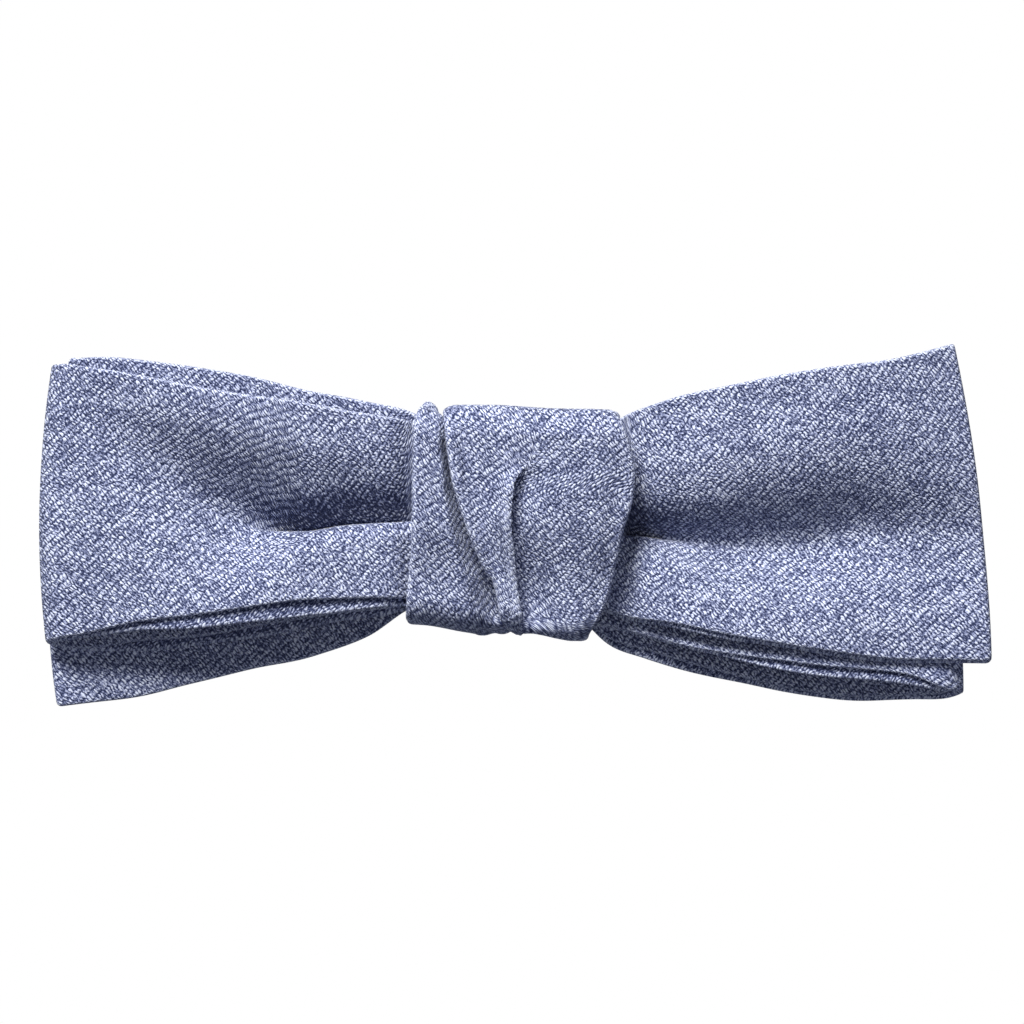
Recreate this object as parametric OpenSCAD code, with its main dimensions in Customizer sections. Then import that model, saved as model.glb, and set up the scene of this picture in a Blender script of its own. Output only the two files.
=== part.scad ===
// Clip-on bow tie: two folded fabric strips bound at the waist, a knot that wraps them twice,
// and a sprung steel clip sewn to the knot's back. Millimetres. X runs across the bow, Y runs from
// the front of the bow towards the wearer, Z is up. The origin is the centre of the clip's
// base plate, on the face that bears on the shirt collar.

/* [Fabric] */
// Thickness of a sewn strip: two layers of cloth with an interlining between them
blade_t = 1.5; // [1.2:0.1:1.6]
// Thickness of the interlining
interlining_t = 0.5; // [0.3:0.1:0.6]
// Width of the sewn seam round the edge of a strip
seam_w = 2; // [1.5:0.5:3]
// How deep the pinch is where the wings leave the knot
pinch_depth = 2.4; // [0:0.2:2.6]
// How far the ends of the wings bow outwards
edge_bulge = 1.1; // [0:0.1:2]

/* [Knot] */
// Height of the knot
knot_h = 29.6; // [29.4:0.1:32]
// Depth of the knot from front to back
knot_d = 13.6; // [13.4:0.1:16]
// Thickness of the cloth of each turn of the knot
turn_t = 1.45; // [1.2:0.05:1.45]
// Number of turns of the waist thread
thread_turns = 6; // [3:1:8]
// Thickness of the waist thread
thread_d = 0.5; // [0.3:0.1:0.5]

/* [Clip] */
// Width of the clip's base plate
base_w = 22; // [22:0.5:24]
// Height of the clip's base plate
base_h = 23; // [22:0.5:24]
// Thickness of the clip's sheet steel
steel_t = 0.8; // [0.6:0.1:0.8]
// Radius of the hinge pin
pin_r = 0.8; // [0.6:0.1:0.9]
// Thickness of the spring's wire
wire_d = 0.6; // [0.4:0.1:0.6]
// Number of full coils in the spring, before the half turn that sets the legs apart
spring_coils = 4; // [2:1:5]
// Number of teeth on the lever's jaw
jaw_teeth = 6; // [3:1:8]

/* [Hidden] */

cloth_blue = [0.57, 0.60, 0.71];
shade_blue = [0.45, 0.49, 0.62];
canvas_white = [0.88, 0.86, 0.80];
thread_blue = [0.35, 0.39, 0.55];
tape_navy = [0.12, 0.15, 0.28];
steel_grey = [0.78, 0.79, 0.81];
wire_grey = [0.66, 0.67, 0.70];
vinyl_white = [0.90, 0.90, 0.88];

tiny = 0.05;
gap = 0.1;

// Facets of round things
thread_facets = 16;
hole_facets = 32;
bore_facets = 48;

// Depths, counted forwards from the face that bears on the collar.
tape_t = 0.65;
tape_y = -steel_t - tape_t;
knot_y = tape_y - tiny - knot_d / 2;
knot_z = 0.3;
layer_pitch = blade_t + gap;
waist_h = 20.8;

// Each strip is a row of stations. A station is [top point, bottom point] of the strip's middle
// surface. The strip runs from its square end, through the knot, round its loop, and back
// into the knot. Layers are numbered from the back of the knot, at 0, to the front, at 3.
function layer_y(n) = knot_y - (n - 1.5) * layer_pitch;
function in_knot(x, n, top, bottom) = [[x, layer_y(n), top], [x, layer_y(n), bottom]];

front_stations = [
    [[54.8, -11.8, 22.7], [59.2, -12.2, -17.2]],
    [[45, -12.8, 20.7], [46, -13.2, -16.6]],
    [[31, -13.2, 18.5], [31, -13.6, -14.7]],
    [[20, -12.2, 15.8], [20, -12.4, -12.4]],
    in_knot(14.5, 3, 12.6, -11.4),
    in_knot(8, 3, 10.5, -9.9),
    in_knot(-8, 3, 10.5, -9.4),
    in_knot(-14.5, 3, 12.2, -9.5),
    [[-22, -12.2, 14.7], [-22, -12.4, -9.4]],
    [[-34, -13.4, 17.6], [-34, -13.8, -10.4]],
    [[-46, -13.2, 19.4], [-46, -13.6, -12.1]],
    [[-56.6, -11.5, 20.4], [-57.2, -11.7, -13.9]],
    [[-59, -10, 20.4], [-59.4, -10, -14.8]],
    [[-56.6, -8.5, 20.2], [-57.2, -8.5, -15.5]],
    [[-46, -7.8, 19], [-46, -7.7, -15.4]],
    [[-34, -7.7, 17.2], [-34, -7.6, -14]],
    [[-22, -8.3, 14.2], [-22, -8.2, -11.6]],
    in_knot(-14.5, 2, 11.9, -10),
    in_knot(-8, 2, 10.5, -9.6),
    in_knot(8, 2, 10.5, -9.8)
];

rear_stations = [
    [[-57.4, -6.2, 21.4], [-58, -6.2, -22.7]],
    [[-46, -5.4, 20.9], [-46, -5.4, -20.9]],
    [[-33, -5.2, 18.7], [-33, -5.2, -18.1]],
    [[-21, -5.6, 15.2], [-21, -5.6, -14.4]],
    in_knot(-14.5, 0, 12.2, -10.8),
    in_knot(-8, 0, 10.5, -9.9),
    in_knot(8, 0, 10.5, -9.9),
    in_knot(14.5, 0, 12.2, -15),
    [[22, -4.8, 14.2], [22, -4.6, -17.2]],
    [[34, -3.6, 16.8], [34, -3.4, -21]],
    [[46, -3.6, 18.6], [46, -3.5, -22.4]],
    [[53.4, -4.9, 19.6], [53.4, -4.9, -22.1]],
    [[55.8, -6.8, 19.8], [55.8, -6.8, -21.5]],
    [[53.4, -8.7, 19.6], [53.4, -8.7, -21]],
    [[46, -9.6, 18.6], [46, -9.6, -19.8]],
    [[34, -9.9, 16.8], [34, -9.9, -18.3]],
    [[22, -8.8, 14.2], [22, -8.8, -15.2]],
    in_knot(14.5, 1, 12.2, -13.2),
    in_knot(8, 1, 10.5, -9.9),
    in_knot(-8, 1, 10.5, -9.9)
];

// Smooth curve through a list of stations, and straight on past its last one.
function catmull(a, b, c, d, t) =
    0.5 * (2 * b + (c - a) * t + (2 * a - 5 * b + 4 * c - d) * t * t + (3 * b - a - 3 * c + d) * t * t * t);
function station(list, s) =
    let (last = len(list) - 1, i = min(max(floor(s), 0), last - 1), t = s - i)
    s > last ? list[last] + (list[last] - list[last - 1]) * (s - last) :
    catmull(list[max(i - 1, 0)], list[i], list[i + 1], list[min(i + 2, last)], t);
function smooth(t) = let (c = min(max(t, 0), 1)) c * c * (3 - 2 * c);

// The pinch pushes every layer back alike, so that the layers stay clear of each other.
pinch_start = 14.5;
pinch_full = 20;
pinch_end = 46;
pinch_half_h = 7;
function pinch(x, z) =
    let (side = abs(x))
    pinch_depth * smooth((side - pinch_start) / (pinch_full - pinch_start))
    * (1 - smooth((side - pinch_full) / (pinch_end - pinch_full)))
    * exp(-pow(z / pinch_half_h, 2));

// A point of the strip's middle surface: s counts stations, v goes from the bottom edge to the top.
bulge_start = 40;
bulge_full = 58;
function skin_point(list, s, v) =
    let (
        pair = station(list, s),
        p = pair[1] + (pair[0] - pair[1]) * v,
        out = sign(p.x) * edge_bulge * 4 * v * (1 - v)
            * smooth((abs(p.x) - bulge_start) / (bulge_full - bulge_start))
    )
    p + [out, pinch(p.x, p.z), 0];
function plan_normal(list, s) =
    let (d = skin_point(list, s + tiny, 0.5) - skin_point(list, max(s - tiny, 0), 0.5))
    [-d.y, d.x, 0] / norm([d.x, d.y]);
function strip_h(list, s) = let (pair = station(list, s)) pair[0].z - pair[1].z;

// A closed sheet of thickness t along a strip, from station s0 to s1, inset from both long edges.
steps_per_station = 3;
sheet_rows = 4;
module sheet(list, t, s0, s1, inset) {
    steps = ceil((s1 - s0) * steps_per_station);
    rows = sheet_rows + 1;
    points = [
        for (i = [0:steps])
            let (s = s0 + (s1 - s0) * i / steps, n = plan_normal(list, s), edge = inset / strip_h(list, s))
            for (side = [-1, 1])
                for (j = [0:sheet_rows])
                    skin_point(list, s, edge + (1 - 2 * edge) * j / sheet_rows) + n * side * t / 2
    ];
    near = function (i, j) i * 2 * rows + j;
    far = function (i, j) i * 2 * rows + rows + j;
    faces = [
        for (i = [0:steps - 1], j = [0:sheet_rows - 1])
            each [
                [near(i, j), near(i, j + 1), near(i + 1, j + 1)],
                [near(i, j), near(i + 1, j + 1), near(i + 1, j)]
            ],
        for (i = [0:steps - 1], j = [0:sheet_rows - 1])
            each [
                [far(i, j), far(i + 1, j + 1), far(i, j + 1)],
                [far(i, j), far(i + 1, j), far(i + 1, j + 1)]
            ],
        for (i = [0:steps - 1])
            each [[near(i, 0), near(i + 1, 0), far(i + 1, 0)], [near(i, 0), far(i + 1, 0), far(i, 0)]],
        for (i = [0:steps - 1])
            let (j = sheet_rows)
            each [[near(i, j), far(i + 1, j), near(i + 1, j)], [near(i, j), far(i, j), far(i + 1, j)]],
        for (j = [0:sheet_rows - 1])
            each [[near(0, j), far(0, j + 1), near(0, j + 1)], [near(0, j), far(0, j), far(0, j + 1)]],
        for (j = [0:sheet_rows - 1])
            let (i = steps)
            each [[near(i, j), near(i, j + 1), far(i, j + 1)], [near(i, j), far(i, j + 1), far(i, j)]]
    ];
    polyhedron(points, faces, convexity = 8);
}

// The sewn tube of a strip. Its inner end, inside the knot, is left open, as the sewer leaves it.
// The pocket and the interlining start and end at stations, not millimetres.
pocket_t = interlining_t + 2 * tiny;
pocket_start = 0.25;
pocket_past_end = 0.1;
interlining_start = pocket_start + 0.02;
module strip(list) {
    last = len(list) - 1;
    difference() {
        sheet(list, blade_t, 0, last, 0);
        sheet(list, pocket_t, pocket_start, last + pocket_past_end, seam_w);
    }
}
module interlining(list) {
    sheet(list, interlining_t, interlining_start, len(list) - 1, seam_w + 2 * tiny);
}

module front_strip() {
    color(cloth_blue) strip(front_stations);
}
module front_interlining() {
    color(canvas_white) interlining(front_stations);
}
module rear_strip() {
    color(shade_blue) strip(rear_stations);
}
module rear_interlining() {
    color(canvas_white) interlining(rear_stations);
}

// Round-cornered rectangle of half sizes a and b, as points.
corner_steps = 8;
function round_rect(a, b, r) = [
    for (q = [0:3], k = [0:corner_steps])
        let (angle = 90 * (q + k / corner_steps), sx = (q == 0 || q == 3) ? 1 : -1, sy = q < 2 ? 1 : -1)
        [sx * (a - r) + r * cos(angle), sy * (b - r) + r * sin(angle)]
];
// A band round the waist, from x0 to x1, as a closed ring of wall t.
sharpest_r = 0.3;
module band(x0, x1, half_d, half_h, r, t) {
    translate([x0, knot_y, knot_z])
        rotate([90, 0, 90])
            linear_extrude(x1 - x0)
                difference() {
                    polygon(round_rect(half_d, half_h, r));
                    polygon(round_rect(half_d - t, half_h - t, max(r - t, sharpest_r)));
                }
}

// Thread that binds the four layers at the waist before the knot goes on.
waist_half_d = 2 * layer_pitch + thread_d;
waist_half_h = waist_h / 2 + thread_d + gap;
thread_spread = 1.6;
thread_pitch = thread_d * thread_spread;
thread_corner_r = 0.9;
module waist_thread() {
    color(thread_blue)
        for (k = [0:thread_turns - 1])
            let (x = (k - (thread_turns - 1) / 2) * thread_pitch)
            band(x - thread_d / 2, x + thread_d / 2, waist_half_d, waist_half_h, thread_corner_r, thread_d);
}

// The knot. Its outline is seen from the front; the ring gives its depth.
outer_half_d = knot_d / 2;
outer_half_h = knot_h / 2;
inner_half_d = outer_half_d - turn_t - tiny;
inner_half_h = outer_half_h - turn_t - tiny;
outer_corner_r = 5.1;
inner_corner_r = outer_corner_r - turn_t - tiny;
knot_side = 16;
knot_reach = 40;
inner_outline = [
    [-12.4, 16], [-13.2, 13], [-13.4, 9], [-13.4, -4], [-13.8, -10], [-14.3, -12.5], [-13, -16],
    [8, -16], [8, 16]
];
outer_outline = [
    [-9.6, 16], [-9.4, 11.5], [-8.9, 8.2], [-8.2, 4.4], [-7.2, 0.6], [-6, -3], [-4.4, -6.6],
    [-2.6, -9.8], [-0.6, -12.6], [1, -16], [8.4, -16], [10, -12.6], [11.3, -8.8], [12.2, -5],
    [13.2, -0.4], [14.1, 4], [14.4, 7.4], [13.6, 12], [12.4, 16]
];
back_outline = [[-13, -16], [8.4, -16], [10, -12.6], [13, -8], [13, 16], [-13, 16]];
module through_depth(outline, y0, y1) {
    translate([0, y1, 0])
        rotate([90, 0, 0])
            linear_extrude(y1 - y0)
                polygon(outline);
}

module knot_inner_turn() {
    color(cloth_blue)
        intersection() {
            band(-knot_side, knot_side, inner_half_d, inner_half_h, inner_corner_r, turn_t);
            through_depth(inner_outline, -knot_reach, knot_reach);
        }
}
module knot_outer_turn() {
    color(cloth_blue)
        intersection() {
            band(-knot_side, knot_side, outer_half_d, outer_half_h, outer_corner_r, turn_t);
            union() {
                through_depth(outer_outline, -knot_reach, knot_y);
                through_depth(back_outline, knot_y, knot_reach);
            }
        }
}

// A stitch: a bar of thread across a gap, with a leg into the cloth at each end.
stitch_d = 0.45;
module stitch(x0, x1, z, y_top, y_bottom) {
    for (x = [x0, x1])
        translate([x, y_top, z])
            rotate([90, 0, 0])
                cylinder(h = y_top - y_bottom, d = stitch_d, $fn = thread_facets);
    translate([x0, y_top, z])
        rotate([0, 90, 0])
            cylinder(h = x1 - x0, d = stitch_d, $fn = thread_facets);
    for (x = [x0, x1])
        translate([x, y_top, z])
            sphere(d = stitch_d, $fn = thread_facets);
}

// Tape on the knot's back that carries the clip, and the stitches that hold it down.
tape_w = 24.6;
tape_h = 24.4;
tape_corner_r = 1;
module clip_tape() {
    color(tape_navy)
        translate([0, tape_y + tape_t, 0])
            rotate([90, 0, 0])
                linear_extrude(tape_t)
                    difference() {
                        polygon(round_rect(tape_w / 2, tape_h / 2, tape_corner_r));
                        for (x = [-1, 1], z = [-1, 1], row = thread_rows, end = [0, stitch_reach])
                            translate([x * (hole_x + end), z * hole_z + row])
                                circle(d = stitch_d + gap, $fn = thread_facets);
                        for (side = [-1, 1], k = [0:tape_stitches - 1])
                            translate([
                                side * (tape_w / 2 - tape_stitch_in),
                                (k - (tape_stitches - 1) / 2) * tape_stitch_pitch
                            ])
                                circle(d = stitch_d + gap, $fn = thread_facets);
                    }
}
tape_stitches = 5;
tape_stitch_pitch = 3;
tape_stitch_in = 0.5;
module knot_stitches() {
    color(thread_blue)
        for (side = [-1, 1], k = [0:tape_stitches - 1])
            let (
                inner = side * (tape_w / 2 - tape_stitch_in),
                outer = side * (tape_w / 2 + tape_stitch_in),
                z = (k - (tape_stitches - 1) / 2) * tape_stitch_pitch
            )
            stitch(min(inner, outer), max(inner, outer), z, tape_y + tape_t + stitch_d / 2 + tiny, tape_y);
}

// The clip. Its base plate is sewn to the tape, and two ears carry the pin.
base_low = -base_h / 2;
pivot_y = 3.4;
pivot_up = 14;
pivot_z = base_low + pivot_up;
base_corner_r = 2;
ear_x = 8.2;
ear_r = 2.2;
hole_x = 9.6;
hole_z = 8.6;
hole_r = 1;
thread_rows = [-0.5, 0, 0.5];
stitch_reach = 1.9;
// The pin is tight in the base's ears and turns freely in the lever's.
pin_fit = 0.03;
lever_fit = 0.06;
pin_hole_r = pin_r + pin_fit;
lever_hole_r = pin_r + lever_fit;

// A side ear that starts at depth y0 and ends round the pin.
module ear(x, y0, r) {
    translate([x, pivot_y, pivot_z])
        rotate([0, 90, 0])
            cylinder(h = steel_t, r = r, $fn = bore_facets);
    translate([x, min(y0, pivot_y), pivot_z - r])
        cube([steel_t, abs(pivot_y - y0), 2 * r]);
}
module pin_bore(r) {
    translate([-base_w, pivot_y, pivot_z])
        rotate([0, 90, 0])
            cylinder(h = 2 * base_w, r = r, $fn = bore_facets);
}
module clip_base() {
    color(steel_grey)
        difference() {
            union() {
                translate([0, 0, base_low + base_h / 2])
                    rotate([90, 0, 0])
                        linear_extrude(steel_t)
                            polygon(round_rect(base_w / 2, base_h / 2, base_corner_r));
                for (x = [-ear_x - steel_t, ear_x])
                    ear(x, -steel_t, ear_r);
            }
            pin_bore(pin_hole_r);
            for (x = [-hole_x, hole_x], z = [-hole_z, hole_z])
                translate([x, tiny, z])
                    rotate([90, 0, 0])
                        cylinder(h = steel_t + 2 * tiny, r = hole_r, $fn = hole_facets);
        }
}

// Ribbon of thickness t along points in a plane.
function ribbon(p, t) =
    let (
        last = len(p) - 1,
        side = [
            for (i = [0:last])
                let (d = p[min(i + 1, last)] - p[max(i - 1, 0)])
                [-d.y, d.x] / norm(d) * t / 2
        ]
    )
    concat([for (i = [0:last]) p[i] + side[i]], [for (i = [last:-1:0]) p[i] - side[i]]);

// The lever's side view, from the pivot: thumb tab at the top, jaw at the bottom.
lever_w = 15.8;
lever_line = [
    [4.9, 9.4], [4, 8.2], [3.3, 6.2], [2.8, 3.8], [2.55, 1.4], [2.5, -1], [2.3, -3.6],
    [1.7, -6.2], [0.6, -8.6], [-0.9, -10.8], [-2.1, -12.5], [-2.35, -13.6]
];
lever_ear_y = 5.8;
lever_ear_r = 2;
tooth_h = 1.4;
tooth_cut_d = 6;
module clip_lever() {
    tooth_pitch = lever_w / jaw_teeth;
    color(steel_grey)
        difference() {
            union() {
                translate([-lever_w / 2, pivot_y, pivot_z])
                    rotate([90, 0, 90])
                        linear_extrude(lever_w)
                            polygon(ribbon(lever_line, steel_t));
                for (x = [-lever_w / 2, lever_w / 2 - steel_t])
                    ear(x, lever_ear_y, lever_ear_r);
            }
            pin_bore(lever_hole_r);
            for (k = [1:jaw_teeth - 1])
                translate([k * tooth_pitch - lever_w / 2, 0, base_low])
                    rotate([0, 45, 0])
                        cube([tooth_h, tooth_cut_d, tooth_h], center = true);
        }
}

head_r = 1.35;
head_t = 0.5;
module clip_pin() {
    reach = ear_x + steel_t + tiny;
    color(wire_grey)
        translate([0, pivot_y, pivot_z])
            rotate([0, 90, 0]) {
                cylinder(h = 2 * reach, r = pin_r, center = true, $fn = bore_facets);
                for (end = [-reach - head_t, reach])
                    translate([0, 0, end])
                        cylinder(h = head_t, r = head_r, $fn = bore_facets);
            }
}

// Torsion spring: one leg on the base plate, a coil round the pin, one leg on the lever.
coil_r = 1.45;
coil_gap = 0.12;
coil_pitch = wire_d + coil_gap;
coil_steps = 16;
half_turn = 0.5;
wire_sides = 8;
leg_top_z = 9;
base_leg_y = wire_d / 2 + tiny;
lever_leg_y = 5.75;
function coil_path() =
    let (
        turns = spring_coils + half_turn,
        n = round(turns * coil_steps),
        half = turns * coil_pitch / 2
    )
    concat(
        [[half, base_leg_y, leg_top_z]],
        [
            for (k = [0:n])
                let (angle = 180 - 360 * turns * k / n)
                [half - 2 * half * k / n, pivot_y + coil_r * cos(angle), pivot_z + coil_r * sin(angle)]
        ],
        [[-half, lever_leg_y, leg_top_z]]
    );
function unit(v) = v / norm(v);
module wire(path, d) {
    last = len(path) - 1;
    points = [
        for (i = [0:last])
            let (
                t = unit(path[min(i + 1, last)] - path[max(i - 1, 0)]),
                a = unit(cross(t, [1, 0, 0])),
                b = cross(t, a)
            )
            for (k = [0:wire_sides - 1])
                path[i] + (a * cos(360 * k / wire_sides) + b * sin(360 * k / wire_sides)) * d / 2
    ];
    at = function (i, k) i * wire_sides + k % wire_sides;
    faces = [
        [for (k = [0:wire_sides - 1]) k],
        for (i = [0:last - 1], k = [0:wire_sides - 1])
            each [[at(i, k), at(i + 1, k + 1), at(i, k + 1)], [at(i, k), at(i + 1, k), at(i + 1, k + 1)]],
        [for (k = [wire_sides - 1:-1:0]) last * wire_sides + k]
    ];
    polyhedron(points, faces, convexity = 10);
}
module clip_spring() {
    color(wire_grey) wire(coil_path(), wire_d);
}

// Ribbed vinyl pad on the base plate, which the lever's teeth press the collar against.
pad_w = 17;
pad_h = 4.2;
pad_t = 0.3;
pad_ribs = 4;
pad_rib_r = 0.22;
pad_low = base_low + 0.2;
module clip_jaw_pad() {
    rib_pitch = pad_h / pad_ribs;
    color(vinyl_white) {
        translate([-pad_w / 2, 0, pad_low])
            cube([pad_w, pad_t, pad_h]);
        for (k = [0:pad_ribs - 1])
            translate([-pad_w / 2, pad_t, pad_low + rib_pitch * (k + 0.5)])
                rotate([0, 90, 0])
                    cylinder(h = pad_w, r = pad_rib_r, $fn = thread_facets);
    }
}

// Thread that sews the base plate to the tape through its four holes.
module clip_stitches() {
    color(thread_blue)
        for (x = [-1, 1], z = [-1, 1], row = thread_rows)
            let (x0 = x * hole_x, x1 = x * (hole_x + stitch_reach))
            stitch(min(x0, x1), max(x0, x1), z * hole_z + row, stitch_d / 2 + tiny, tape_y);
}

front_strip();
front_interlining();
rear_strip();
rear_interlining();
waist_thread();
knot_inner_turn();
knot_outer_turn();
knot_stitches();
clip_tape();
clip_base();
clip_lever();
clip_pin();
clip_spring();
clip_jaw_pad();
clip_stitches();
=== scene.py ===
import math

import bpy
import numpy as np
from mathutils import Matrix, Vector


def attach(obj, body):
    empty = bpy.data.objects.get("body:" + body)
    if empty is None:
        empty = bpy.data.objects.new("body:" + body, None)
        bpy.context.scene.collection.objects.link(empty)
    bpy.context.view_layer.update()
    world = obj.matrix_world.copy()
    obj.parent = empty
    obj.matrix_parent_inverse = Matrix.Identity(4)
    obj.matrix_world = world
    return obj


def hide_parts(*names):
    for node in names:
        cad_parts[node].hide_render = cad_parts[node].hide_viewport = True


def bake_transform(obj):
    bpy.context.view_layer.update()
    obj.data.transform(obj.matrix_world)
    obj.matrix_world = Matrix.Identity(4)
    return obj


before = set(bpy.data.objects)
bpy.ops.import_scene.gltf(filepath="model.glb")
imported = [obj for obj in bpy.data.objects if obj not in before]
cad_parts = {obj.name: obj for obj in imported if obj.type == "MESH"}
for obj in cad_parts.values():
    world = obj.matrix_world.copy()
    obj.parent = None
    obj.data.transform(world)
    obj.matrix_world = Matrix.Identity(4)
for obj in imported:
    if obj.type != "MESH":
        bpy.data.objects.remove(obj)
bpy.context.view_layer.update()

MM = 0.001


# -------- curves

def between(first, second, first_slope, second_slope, gap, f):
    """Cubic curve from first to second with the given slopes. f is the share of the gap, from 0 to 1."""
    f2, f3 = f * f, f * f * f
    return (
        first * (2 * f3 - 3 * f2 + 1)
        + second * (3 * f2 - 2 * f3)
        + gap * (first_slope * (f3 - 2 * f2 + f) + second_slope * (f3 - f2))
    )


def running(steps):
    """Distance from the start at each point, from the steps between the points."""
    return np.concatenate([[0], np.cumsum(steps)])


def gap_at(places, t):
    """Number of the gap between places that each t lies in."""
    return np.clip(np.searchsorted(places, t, side="right") - 1, 0, len(places) - 2)


def through(points, t):
    """Smooth curve of one value through (t, value) points, flat beyond them, with no overshoot."""
    p = np.array(points, float)
    p = p[np.argsort(p[:, 0])]
    x, y = p[:, 0], p[:, 1]
    gap = np.diff(x)
    slope = np.diff(y) / gap
    m = np.zeros_like(y)
    same = slope[:-1] * slope[1:] > 0
    m[1:-1][same] = 2 * slope[:-1][same] * slope[1:][same] / (slope[:-1][same] + slope[1:][same])
    m[0], m[-1] = slope[0], slope[-1]
    t = np.clip(t, x[0], x[-1])
    i = gap_at(x, t)
    return between(y[i], y[i + 1], m[i], m[i + 1], gap[i], (t - x[i]) / gap[i])


def dense_rows(stations, step):
    """Stations of (x_top, x_bottom, y, ...) filled in to rows about step apart along the plan curve."""
    p = np.array(stations, float)
    mid_x = (p[:, 0] + p[:, 1]) / 2
    gap = np.hypot(np.diff(mid_x), np.diff(p[:, 2]))
    knots = running(gap)
    slope = np.diff(p, axis=0) / gap[:, None]
    before, after = gap[:-1, None], gap[1:, None]
    inner = (slope[:-1] * after + slope[1:] * before) / (before + after)
    m = np.vstack([slope[:1], inner, slope[-1:]])
    t = np.linspace(0, knots[-1], int(knots[-1] / step) + 1)
    i = gap_at(knots, t)
    h = gap[i][:, None]
    return between(p[i], p[i + 1], m[i], m[i + 1], h, (t - knots[i])[:, None] / h)


def ramp(value, low, high):
    """0 below low, 1 above high, smooth between."""
    f = np.clip((value - low) / (high - low), 0, 1)
    return f * f * (3 - 2 * f)


# Three crossing waves: (waves along x, waves along z, phase, share). Their shares add up to RIPPLE_TOTAL.
# A wave is (height, size) where it is used.
RIPPLE_WAVES = [(1, 0.37, 0.6, 1), (0.61, -0.83, 2.1, 1), (1.7, 1.3, 4.0, 0.5)]
RIPPLE_TOTAL = 2.5


def ripple(x, z, height, size):
    """Slow uneven waves of up to the given height, the same on every run."""
    waves = 0
    for along_x, along_z, phase, share in RIPPLE_WAVES:
        waves = waves + share * np.sin(2 * math.pi * (along_x * x / size + along_z * z / size) + phase)
    return height * (waves / RIPPLE_TOTAL)


# -------- meshes

def new_mesh(name, points, faces, uv, edge):
    """A mesh object. uv is in mm along the cloth's two grain directions; edge is a painted highlight, up to
    1 on folded edges, and painted shade, down to about -1 deep in grooves and creases."""
    mesh = bpy.data.meshes.new(name)
    mesh.from_pydata((np.asarray(points) * MM).tolist(), [], [list(map(int, f)) for f in faces])
    mesh.update()
    loops = np.empty(len(mesh.loops), int)
    mesh.loops.foreach_get("vertex_index", loops)
    layer = mesh.uv_layers.new(name="weave")
    layer.data.foreach_set("uv", np.asarray(uv, float)[loops].ravel())
    attribute = mesh.attributes.new("edge", "FLOAT", "POINT")
    attribute.data.foreach_set("value", np.asarray(edge, float).ravel())
    mesh.shade_smooth()
    thing = bpy.data.objects.new(name, mesh)
    bpy.context.scene.collection.objects.link(thing)
    return thing


def grid_faces(rows, columns, wrap_rows, wrap_columns):
    """Quads of a grid of points numbered row by row."""
    faces = []
    for i in range(rows if wrap_rows else rows - 1):
        for j in range(columns if wrap_columns else columns - 1):
            k, m = (i + 1) % rows, (j + 1) % columns
            faces.append((i * columns + j, k * columns + j, k * columns + m, i * columns + m))
    return faces


def finish_piece(thing, material, node):
    """Gives a piece its material and slot, and hides the CAD node that it stands for."""
    thing.data.materials.append(material)
    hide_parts(node)
    return thing


# -------- sewn strips

# A strip is two layers thick, CLOTH in all. Along each long edge both layers end in a rolled lip of radius
# LIP, with a narrow groove between them. GROOVE_HALF is a share of half the thickness.
CLOTH = 1.5
LIP = CLOTH / 4
LIP_STEPS = 6
GROOVE = 0.9
GROOVE_START = 0.25
GROOVE_HALF = 0.03
# Rows of points up a face. They are crowded together round the crease, at this share of the height.
FACE_ROWS = 92
CREASE_AT = 0.41
CREASE_SPREAD = 0.07
CREASE_CROWDING = 3


def face_heights():
    """Heights from 0 to 1 up a strip's face, closer together where the wings are creased."""
    h = np.linspace(0, 1, 400)
    crowd = 1 + CREASE_CROWDING * np.exp(-(((h - CREASE_AT) / CREASE_SPREAD) ** 2))
    run = running((crowd[1:] + crowd[:-1]) / 2)
    return np.interp(np.linspace(0, run[-1], FACE_ROWS), run, h)


def tube_section():
    """Section of a strip sewn as a flat tube, as rows of (height 0 to 1, depth -1 to 1, out in mm, side,
    end, edge): the outer face downwards, two rolled lips with a groove between them, the inner face
    upwards, and two lips again. side is 0 on the outer face's cloth and 1 on the inner's; end is -1 at the
    bottom. edge is 1 on the lips, a painted highlight, and -1 down in the groove, painted shade."""
    rows = []
    angles = np.linspace(90, -90, LIP_STEPS + 2)[1:-1]

    # each lip's rows carry a painted highlight, edge 1
    def lip(height, end, side, lip_angles):
        sign = 1 if side == 0 else -1
        for a in lip_angles:
            r = math.radians(a)
            rows.append((height, sign * (0.5 + 0.5 * math.sin(r)), LIP * math.cos(r), side, end, 1))

    def groove(height, end, first):
        for side, drops in ((first, (GROOVE_START, GROOVE)), (1 - first, (GROOVE, GROOVE_START))):
            sign = 1 if side == 0 else -1
            for drop in drops:
                # painted shade down in the groove between the two lips
                shade = -1 if drop == GROOVE else -0.5
                rows.append((height, sign * GROOVE_HALF, -drop, side, end, shade))

    def lips(height, end, first):
        lip(height, end, first, angles)
        groove(height, end, first)
        lip(height, end, 1 - first, angles[::-1])

    heights = face_heights()
    for h in heights[::-1]:
        rows.append((h, 1, 0, 0, -1 if h < 0.5 else 1, 0))
    lips(0, -1, 0)
    for h in heights:
        rows.append((h, -1, 0, 1, -1 if h < 0.5 else 1, 0))
    lips(1, 1, 1)
    return np.array(rows)


def sheet_section(thickness, margin):
    """Section of a plain thin sheet inside a strip. It stays clear of the strip's long edges by margin,
    which is a share of the height."""
    heights = margin + (1 - 2 * margin) * face_heights()[::-1]
    rows = [(h, thickness / CLOTH, 0, 0, 1, 0) for h in heights]
    rows += [(h, -thickness / CLOTH, 0, 1, 1, 0) for h in heights[::-1]]
    return np.array(rows)


# The strips' ends are rounded over in END_STEPS rows, which turn through END_TURN of a quarter turn and draw
# the long edges in by END_DRAW.
END_STEPS = 5
END_TURN = 0.94
END_DRAW = 0.7
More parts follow.
